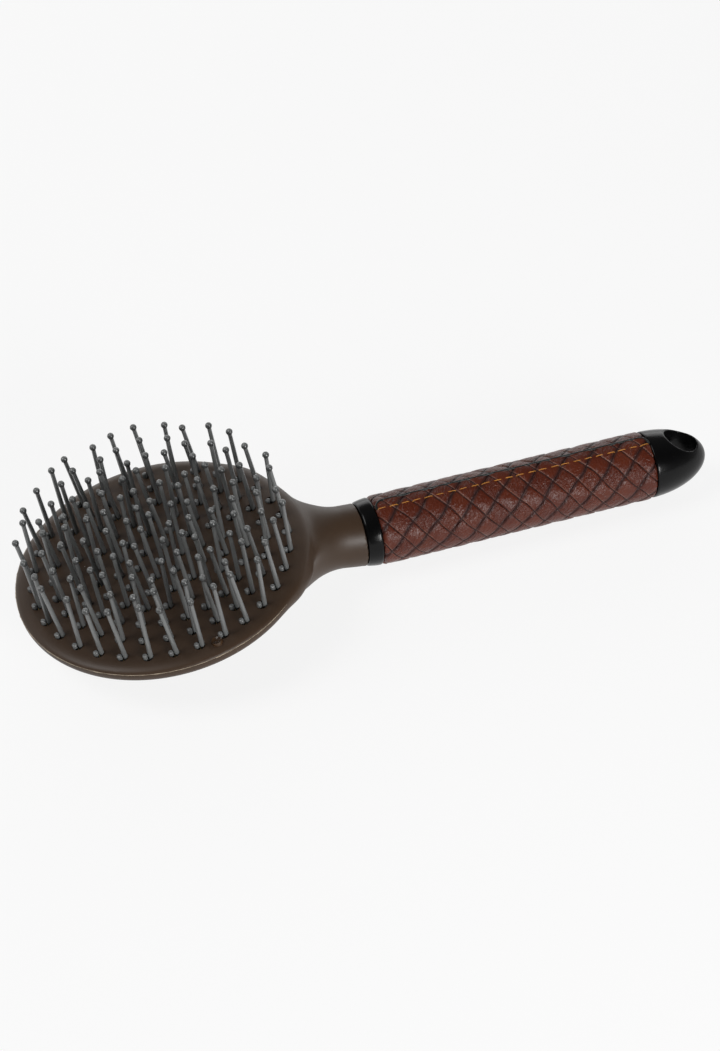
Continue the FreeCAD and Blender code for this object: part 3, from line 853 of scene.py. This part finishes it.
def inner_radius(s, outer):
    """The underside: on the core, but above the tucked edge where the flap is pared."""
    under = CORE_RADIUS + 0.02
    if s < FLAP_EDGE + LAP_WIDTH + 2:
        pared = GRIP_RADIUS + float(lap_height(s)) - PARED - EMBOSS
        share = min(1.0, max(0.0, (s - FLAP_EDGE - TUCK - 0.5) / 3.0))
        under = pared * (1 - share) + under * share
    return min(under, outer - 0.1)


weave_map = sheet.loops.layers.uv.new("weave")
for face in sheet.faces:
    for loop in face.loops:
        loop[weave_map].uv = weave_place(loop.vert.co.x, loop.vert.co.y)
doubled = bmesh.ops.duplicate(sheet, geom=sheet.verts[:] + sheet.edges[:] + sheet.faces[:])
under = {item for item in doubled["geom"] if isinstance(item, bmesh.types.BMVert)}
under_faces = [item for item in doubled["geom"] if isinstance(item, bmesh.types.BMFace)]
bmesh.ops.reverse_faces(sheet, faces=under_faces)
twin = doubled["vert_map"]
for edge in [e for e in sheet.edges if e.is_boundary and e.verts[0] not in under]:
    loop = edge.link_loops[0]
    a, b = loop.vert, loop.link_loop_next.vert
    wall = sheet.faces.new((b, a, twin[a], twin[b]))
    for corner in wall.loops:
        corner[weave_map].uv = weave_place(corner.vert.co.x, corner.vert.co.y)
for vert in sheet.verts:
    x, s = vert.co.x, vert.co.y
    outer = outer_radius(x, s)
    vert.co = wound(x, s, inner_radius(s, outer) if vert in under else outer)
leather_mesh = bpy.data.meshes.new("leather")
sheet.to_mesh(leather_mesh)
sheet.free()
smooth_but_sharp(leather_mesh, 60)
leather = shown("leather", leather_mesh)

# The weave's lines part the leather into pads. The grooves are duller and get painted shade,
# and the pads get painted shade along one set of lines and a painted highlight along the other
leather_material, tree, shader = new_material("embossed leather")
where = new_node(tree, "ShaderNodeTexCoord", "Object")
weave_uv = tree.nodes.new("ShaderNodeUVMap")
weave_uv.uv_map = "weave"
strap_uv = new_node(tree, "ShaderNodeSeparateXYZ", None, Vector=weave_uv.outputs[0]).outputs
away, floors, shares = [], [], []
for name, width in zip("XY", STRAP_WIDTHS):
    share = number_node(tree, "FRACT", strap_uv[name])
    from_middle = number_node(tree, "ABSOLUTE", number_node(tree, "SUBTRACT", share, 0.5))
    from_line = number_node(tree, "SUBTRACT", 0.5, from_middle)
    away.append(number_node(tree, "MULTIPLY", from_line, width))
    floors.append(number_node(tree, "FLOOR", strap_uv[name]))
    shares.append(share)
nearest = number_node(tree, "MINIMUM", *away)
parity = number_node(tree, "FLOORED_MODULO", number_node(tree, "ADD", *floors), 2.0)
wobble = new_node(tree, "ShaderNodeTexNoise", "Fac", Vector=where, Scale=900.0, Detail=2.0)
wobble = number_node(tree, "SUBTRACT", wobble, 0.5)
ragged = number_node(tree, "MULTIPLY_ADD", wobble, 0.25, nearest)
groove = ramp_node(tree, ragged, 0.08, 0.26, 1.0, 0.0)
patches = new_node(tree, "ShaderNodeTexNoise", "Fac", Vector=where, Scale=130.0, Detail=3.0)
faded = ramp_node(tree, patches, 0.3, 0.7, 0.0, 1.0)
tone_and_painted_light = mix_node(tree, faded, LEATHER_BROWN, FADED_BROWN)
# Painted shade on the pads beside the lines of one strap direction
painted_shade = ramp_node(tree, away[0], 0.25, 1.4, 0.8, 0.0)
tone_and_painted_light = mix_node(tree, painted_shade, tone_and_painted_light, PAINTED_SHADE_BROWN)
# A painted highlight in patches along one side of the lines of the other strap direction
beside = number_node(tree, "MULTIPLY_ADD", wobble, 0.3,
                     number_node(tree, "MULTIPLY", shares[1], STRAP_WIDTHS[1]))
painted_highlight = number_node(tree, "MULTIPLY", ramp_node(tree, beside, 0.18, 0.30, 0.0, 0.55),
                     ramp_node(tree, beside, 0.36, 0.60, 1.0, 0.0))
painted_highlight = number_node(tree, "MULTIPLY", painted_highlight, ramp_node(tree, patches, 0.35, 0.6, 0.2, 1.0))
tone_and_painted_light = mix_node(tree, painted_highlight, tone_and_painted_light, PAINTED_HIGHLIGHT_BROWN)
# The grooves are painted darker: painted shade
hide = mix_node(tree, groove, tone_and_painted_light, GROOVE_SHADE_BROWN)
pores = new_node(tree, "ShaderNodeTexVoronoi", "Distance", Vector=where, Scale=2300.0)
# The wrinkles run across the straps of one direction and along those of the other, and
# are twice as deep on every second pad
stretched = tree.nodes.new("ShaderNodeVectorMath")
stretched.operation = "MULTIPLY"
stretched.inputs[1].default_value = (9.0, 3.6, 1.0)
tree.links.new(weave_uv.outputs[0], stretched.inputs[0])
creases = new_node(tree, "ShaderNodeTexNoise", "Fac", Vector=stretched.outputs[0], Scale=1.0,
                   Detail=2.0, Distortion=0.7)
share = number_node(tree, "MULTIPLY_ADD", parity, 0.5, 0.5)
wrinkled = number_node(tree, "MULTIPLY", share, creases)
relief = number_node(tree, "MULTIPLY_ADD", pores, 0.05, wrinkled)
bump = new_node(tree, "ShaderNodeBump", "Normal", Height=relief, Distance=0.0008)
tree.links.new(hide, shader.inputs["Base Color"])
tree.links.new(ramp_node(tree, groove, 0.0, 1.0, 0.33, 0.62), shader.inputs["Roughness"])
tree.links.new(bump, shader.inputs["Normal"])
shader.inputs["Specular IOR Level"].default_value = 0.28
finish_piece(leather, leather_material, "leather", "leather_wrap")


# Painted edge
# The cut edge of the flap is sealed with thick black edge paint that rolls a little over
# the face of the leather.

EDGE_STEPS = 120
CORNER_STEPS = 10
PAINT_SIDES = 8
PAINT_BLACK = (0.012, 0.015, 0.014, 1.0)

# Each point of the edge: its place on the flat sheet and the direction out of the edge
corners = []
for side, edge_x in ((-1, GRIP_START), (1, GRIP_END)):
    corner = []
    for k in range(CORNER_STEPS + 1):
        turn = math.radians(90 * k / CORNER_STEPS)
        corner.append((edge_x - side * FLAP_CORNER + side * FLAP_CORNER * math.sin(turn),
                       FLAP_EDGE + FLAP_CORNER - FLAP_CORNER * math.cos(turn),
                       side * math.sin(turn), -math.cos(turn)))
    corners.append(corner)
straight_run = GRIP_END - GRIP_START - 2 * FLAP_CORNER
straight = [(GRIP_START + FLAP_CORNER + straight_run * k / EDGE_STEPS, FLAP_EDGE, 0, -1)
            for k in range(1, EDGE_STEPS)]
edge_line = corners[0][::-1] + straight + corners[1]
paint_verts, paint_faces = [], []
for x, s, out_x, out_s in edge_line:
    blob = 0.05 * math.sin(1.9 * x) + 0.04 * math.sin(4.7 * x + 1)
    top = GRIP_RADIUS + float(lap_height(s)) - 0.02
    for off, up in ((-0.60 - blob, -0.14), (-0.45 - blob, 0.06), (-0.10, 0.11), (0.12, -0.04),
                    (0.18, -0.35), (0.10, -0.78), (-0.2, -0.95), (-0.55, -0.6)):
        paint_verts.append(wound(x + out_x * off, s + out_s * off, top + up))
last = PAINT_SIDES * (len(edge_line) - 1)
for first in range(0, last, PAINT_SIDES):
    paint_faces += band(first, first + PAINT_SIDES, PAINT_SIDES)
paint_faces += [tuple(range(PAINT_SIDES - 1, -1, -1)), tuple(range(last, last + PAINT_SIDES))]
paint_mesh = mesh_of("painted_edge", paint_verts, paint_faces)
outward = bmesh.new()
outward.from_mesh(paint_mesh)
bmesh.ops.recalc_face_normals(outward, faces=outward.faces[:])
outward.to_mesh(paint_mesh)
outward.free()
smooth_but_sharp(paint_mesh, 70)
painted_edge = shown("painted_edge", paint_mesh)
paint_material = moulded_material("black edge paint", PAINT_BLACK, drift=0.8, dust=0.0,
                                  skin_scale=900.0, roughness=0.34, relief=0.00006)
finish_piece(painted_edge, paint_material, "leather")


# Stitches
# One row of waxed golden thread holds the flap down. Each stitch is two plies twisted
# together, pulled into the leather at both ends.

STITCH_COUNT = 24
STITCH_PITCH = 4.05
STITCH_LENGTH = 3.3
STITCH_SINK = 0.7
STITCH_TURN = math.radians(13)
PLY_RADIUS = 0.09
THREAD_GOLD = (0.50, 0.205, 0.035, 1.0)

stitch_tree, taken, finished = geometry_tree("sew stitches", [
    ("Length", "NodeSocketFloat"), ("Ply Radius", "NodeSocketFloat"), ("Twist", "NodeSocketFloat"),
    ("Slant", "NodeSocketFloat"), ("Seed", "NodeSocketInt"), ("Material", "NodeSocketMaterial")])
half = number_node(stitch_tree, "MULTIPLY", taken["Length"], 0.5)
share = new_node(stitch_tree, "GeometryNodeSplineParameter", "Factor")
centred = number_node(stitch_tree, "MULTIPLY_ADD", share, 2.0, -1.0)
sunk = number_node(stitch_tree, "POWER", number_node(stitch_tree, "ABSOLUTE", centred), 5.0)
deep = number_node(stitch_tree, "MULTIPLY", sunk, -STITCH_SINK * MM)
along = number_node(stitch_tree, "MULTIPLY", centred, half)
turning = number_node(stitch_tree, "MULTIPLY", centred, taken["Twist"])
plies = stitch_tree.nodes.new("GeometryNodeJoinGeometry")
ply_circle = new_node(stitch_tree, "GeometryNodeCurvePrimitiveCircle", "Curve", Resolution=8,
                      Radius=taken["Ply Radius"])
for phase in (0.0, math.pi):
    angle = number_node(stitch_tree, "ADD", turning, phase)
    aside, lift = [number_node(stitch_tree, "MULTIPLY", number_node(stitch_tree, wave, angle),
                               taken["Ply Radius"]) for wave in ("COSINE", "SINE")]
    line = new_node(stitch_tree, "GeometryNodeCurvePrimitiveLine", "Curve")
    line = new_node(stitch_tree, "GeometryNodeResampleCurve", "Curve", Curve=line, Count=25)
    point = new_node(stitch_tree, "ShaderNodeCombineXYZ", "Vector", X=along, Y=aside,
                     Z=number_node(stitch_tree, "ADD", lift, deep))
    line = new_node(stitch_tree, "GeometryNodeSetPosition", "Geometry", Geometry=line,
                    Position=point)
    ply = new_node(stitch_tree, "GeometryNodeCurveToMesh", "Mesh", Curve=line,
                   Profile_Curve=ply_circle, Fill_Caps=True)
    stitch_tree.links.new(ply, plies.inputs[0])
stitch = new_node(stitch_tree, "GeometryNodeSetShadeSmooth", "Geometry", Geometry=plies.outputs[0])
sewn = new_node(stitch_tree, "GeometryNodeInstanceOnPoints", "Instances", Points=taken["Geometry"],
                Instance=stitch, Rotation=stored_value(stitch_tree, "tilt", "FLOAT_VECTOR"))
chance = stitch_tree.nodes.new("FunctionNodeRandomValue")
chance.data_type = "FLOAT"
floats = [s for s in chance.inputs if s.enabled and s.name in ("Min", "Max")]
floats[0].default_value, floats[1].default_value = -1.0, 1.0
stitch_tree.links.new(taken["Seed"], next(s for s in chance.inputs if s.name == "Seed"))
chance_out = next(s for s in chance.outputs if s.enabled)
slant = number_node(stitch_tree, "MULTIPLY", chance_out, taken["Slant"])
turn_by = new_node(stitch_tree, "ShaderNodeCombineXYZ", "Vector", Z=slant)
sewn = new_node(stitch_tree, "GeometryNodeRotateInstances", "Instances", Instances=sewn,
                Rotation=turn_by)
sewn = new_node(stitch_tree, "GeometryNodeRealizeInstances", "Geometry", Geometry=sewn)
sewn = new_node(stitch_tree, "GeometryNodeSetMaterial", "Geometry", Geometry=sewn,
                Material=taken["Material"])
stitch_tree.links.new(sewn, finished)

first_stitch = (GRIP_START + GRIP_END - (STITCH_COUNT - 1) * STITCH_PITCH) / 2
stitch_arc = STITCH_TURN * GRIP_RADIUS
stitch_radius = GRIP_RADIUS + float(lap_height(stitch_arc)) - 0.02
stitch_mesh = mesh_of("stitch places", [
    wound(first_stitch + k * STITCH_PITCH, stitch_arc, stitch_radius) for k in range(STITCH_COUNT)])
tilt = stitch_mesh.attributes.new("tilt", "FLOAT_VECTOR", "POINT")
tilt.data.foreach_set("vector", [STITCH_TURN, 0, 0] * STITCH_COUNT)
thread_material = moulded_material("golden thread", THREAD_GOLD, drift=0.7, dust=0.0,
                                   skin_scale=1400.0, roughness=0.45, relief=0.00006)
stitches = baked("stitches", stitch_mesh, stitch_tree, **{
    "Length": STITCH_LENGTH * MM, "Ply Radius": PLY_RADIUS * MM, "Twist": 7.5, "Slant": 0.06,
    "Seed": 3, "Material": thread_material})
finish_piece(stitches, thread_material, "thread", "seam_stitches")


# End cap
# Half an egg of satin black plastic on a spigot in the core, with a round hole through it
# to hang the brush by.

CAP_RADIUS = 11.5
CAP_LENGTH = 21.69
HANG_HOLE_RADIUS = 5.7
HANG_HOLE_OUT = 12.6
SPIGOT_RADIUS = 6.1
SPIGOT_LENGTH = 12.0


def cap_distance(p):
    """Distance in mm to the cap with its hole and its spigot."""
    x, y, z = p[..., 0] - GRIP_END, p[..., 1], p[..., 2]
    egg_x = np.maximum(x, 0)
    share = np.sqrt((egg_x / CAP_LENGTH) ** 2 + (y * y + z * z) / CAP_RADIUS ** 2)
    slope = np.sqrt((egg_x / CAP_LENGTH ** 2) ** 2 + (y * y + z * z) / CAP_RADIUS ** 4)
    egg = share * (share - 1) / np.maximum(slope, 1e-6)
    egg = round_corner(egg, 0.15 - x, radius=0.5)
    hole = HANG_HOLE_RADIUS - np.hypot(x - HANG_HOLE_OUT, y)
    pierced = round_corner(egg, hole, radius=0.55)
    ends = np.maximum(-SPIGOT_LENGTH - x, x - 1.0)
    spigot = np.maximum(np.hypot(y, z) - SPIGOT_RADIUS, ends)
    return np.minimum(pierced, spigot)


cap = shown("cap", skin("cap", cap_distance, low=(90.4, -11.7, -11.7),
                        high=(124.6, 11.7, 11.7), cell=0.33))
smooth_but_sharp(cap.data, 50)
finish_piece(cap, black_material, "black_plastic", "end_cap")


# Hidden pieces
# The core tube under the leather and the metal anchors that hold the pins' folds in their
# holes keep their solids, and get a finish.

CORE_BLACK = (0.02, 0.02, 0.02, 1.0)
BRASS = (0.62, 0.50, 0.24, 1.0)

core_material = moulded_material("black core plastic", CORE_BLACK, drift=0.2, dust=0.0,
                                 skin_scale=500.0, roughness=0.5, relief=0.00002)
anchor_material = moulded_material("rolled brass strip", BRASS, drift=0.3, dust=0.0,
                                   skin_scale=900.0, roughness=0.35, relief=0.00002)
anchor_material.node_tree.nodes["Principled BSDF"].inputs["Metallic"].default_value = 1.0
for node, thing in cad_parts.items():
    if node == "handle_core" or node.startswith("anchor"):
        thing.data.materials.clear()
        thing.data.materials.append(core_material if node == "handle_core" else anchor_material)

bpy.context.scene.view_settings.view_transform = "Standard"
